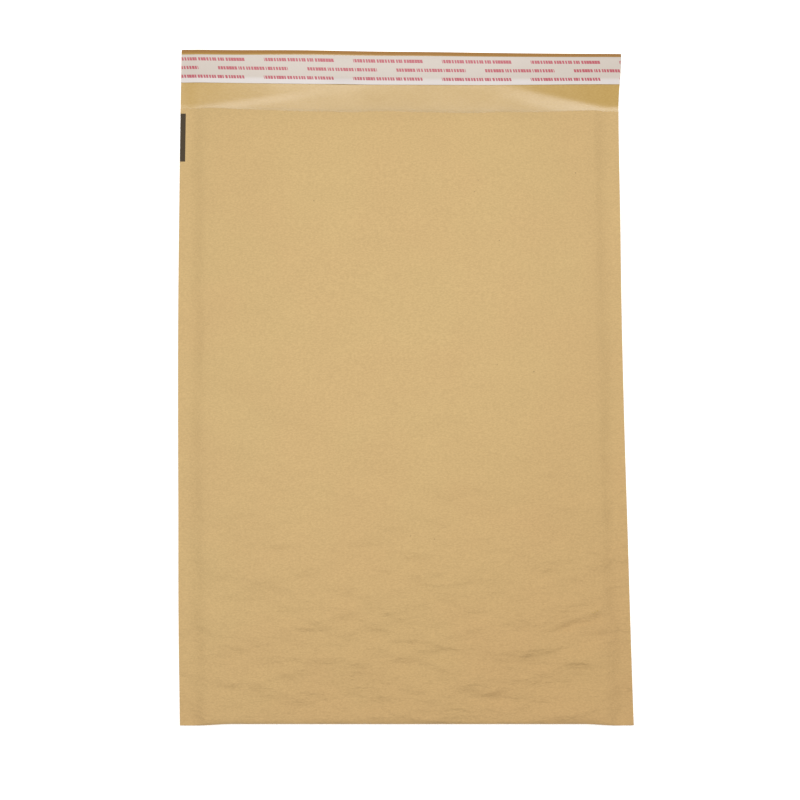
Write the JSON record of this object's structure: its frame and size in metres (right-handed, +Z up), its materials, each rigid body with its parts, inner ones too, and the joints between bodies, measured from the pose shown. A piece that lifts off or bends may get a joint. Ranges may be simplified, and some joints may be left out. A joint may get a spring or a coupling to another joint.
{
  "type": "padded envelope",
  "caption": "Padded kraft mailing envelope with a bubble film lining, sealed side seams, an open mouth and a gummed flap under a peel-off release liner.",
  "frame": {"origin": "on the table, under the middle of the envelope's whole length and width", "axes": "+Z up through the front panel, +Y from the bottom fold to the flap's free edge, +X across to the right-hand side seal"},
  "size_m": [0.2588, 0.3874, 0.0162],
  "materials": {
    "kraft_paper": "matte outside, film-coated inside",
    "bubble_film": "clear glossy film",
    "hot_melt": "tacky translucent adhesive",
    "liner_paper": "smooth silicone-coated paper with printed bars"
  },
  "bodies": {
    "root": {"kraft_envelope": "kraft_paper", "bubble_lining": "bubble_film", "adhesive_strip": "hot_melt", "release_liner": "liner_paper"}
  },
  "joints": []
}
